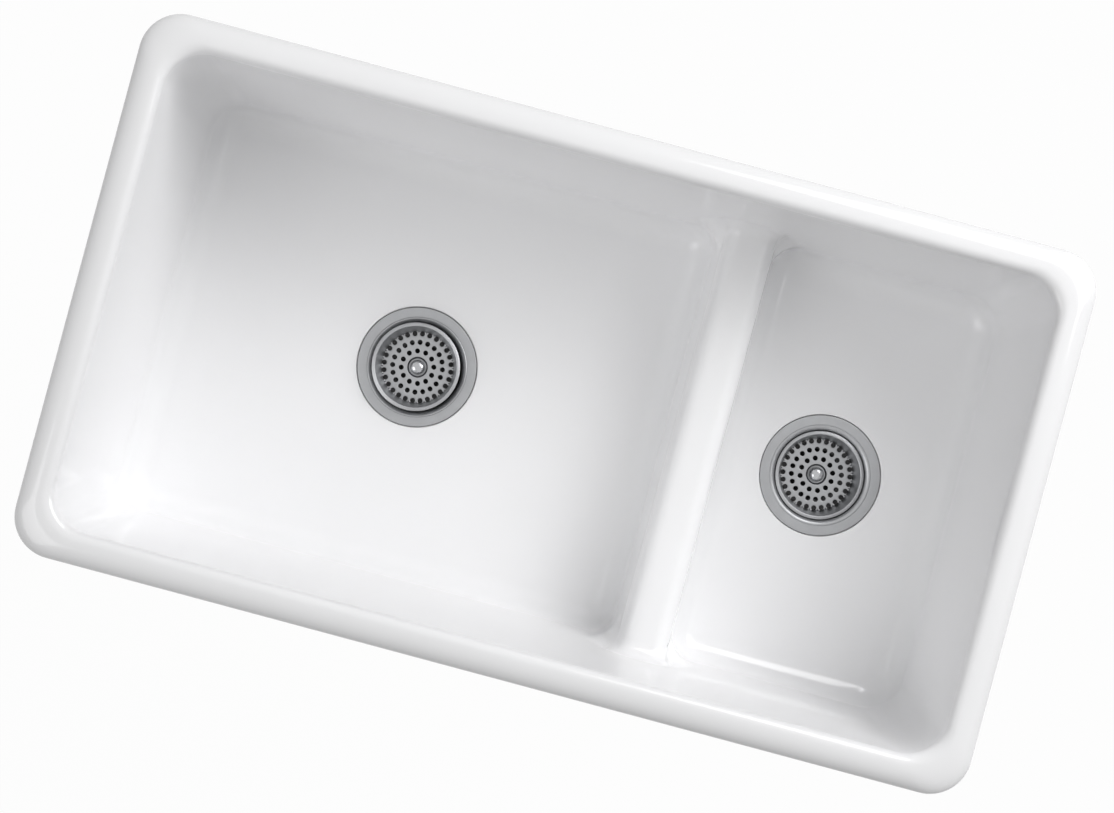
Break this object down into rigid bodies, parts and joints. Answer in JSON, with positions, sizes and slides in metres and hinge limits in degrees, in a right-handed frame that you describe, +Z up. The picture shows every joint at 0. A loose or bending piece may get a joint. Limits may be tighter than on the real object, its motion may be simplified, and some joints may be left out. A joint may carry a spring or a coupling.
{
  "type": "kitchen sink",
  "caption": "Drop-in enamelled cast-iron kitchen sink with a large and a small bowl, a low rounded wall between them, a crowned rim and lift-out basket strainers",
  "frame": {"origin": "middle of the rim in plan, at the level of the counter top that the rim's foot rests on", "axes": "+X along the rim's length towards the small bowl, +Y towards the back, +Z up out of the bowls"},
  "size_m": [0.8382, 0.4762, 0.4036],
  "materials": {
    "enamel": "white vitreous enamel, glossy, fused on cast iron",
    "strainer_steel": "satin stainless steel with fine turning marks",
    "post_steel": "polished stainless steel",
    "black_rubber": "moulded black rubber",
    "putty": "plumber's putty, dull",
    "fibre": "pressed fibre washer",
    "nut_brass": "cast brass, plain",
    "tube_chrome": "chrome plate on thin brass tube",
    "white_plastic": "moulded polyethylene",
    "spring_steel": "cold rolled spring strip"
  },
  "bodies": {
    "root": {"sink": "enamel", "left_strainer_body": "strainer_steel", "left_putty_ring": "putty", "left_rubber_gasket": "black_rubber", "left_friction_washer": "fibre", "left_locknut": "nut_brass", "left_tailpiece_washer": "white_plastic", "left_tailpiece": "tube_chrome", "left_coupling_nut": "nut_brass", "right_strainer_body": "strainer_steel", "right_putty_ring": "putty", "right_rubber_gasket": "black_rubber", "right_friction_washer": "fibre", "right_locknut": "nut_brass", "right_tailpiece_washer": "white_plastic", "right_tailpiece": "tube_chrome", "right_coupling_nut": "nut_brass"},
    "left_post": {"left_knob_post": "post_steel", "left_stopper": "black_rubber", "left_stopper_nut": "post_steel", "left_snap_spring": "spring_steel"},
    "left_strainer_basket": {"left_basket": "strainer_steel"},
    "right_post": {"right_knob_post": "post_steel", "right_stopper": "black_rubber", "right_stopper_nut": "post_steel", "right_snap_spring": "spring_steel"},
    "right_strainer_basket": {"right_basket": "strainer_steel"}
  },
  "joints": [
    {"name": "left_post_lift", "type": "slide", "parent": "root", "child": "left_post", "axis": [0, 0, 1], "range_m": [-0.0195, 0.3]},
    {"name": "left_basket_turn", "type": "hinge", "parent": "left_post", "child": "left_strainer_basket", "pos_m": [-0.1367, 0, -0.2205], "axis": [0, 0, 1], "continuous": true},
    {"name": "right_post_lift", "type": "slide", "parent": "root", "child": "right_post", "axis": [0, 0, 1], "range_m": [0, 0.3]},
    {"name": "right_basket_turn", "type": "hinge", "parent": "right_post", "child": "right_strainer_basket", "pos_m": [0.25854, 0, -0.22], "axis": [0, 0, 1], "continuous": true}
  ]
}
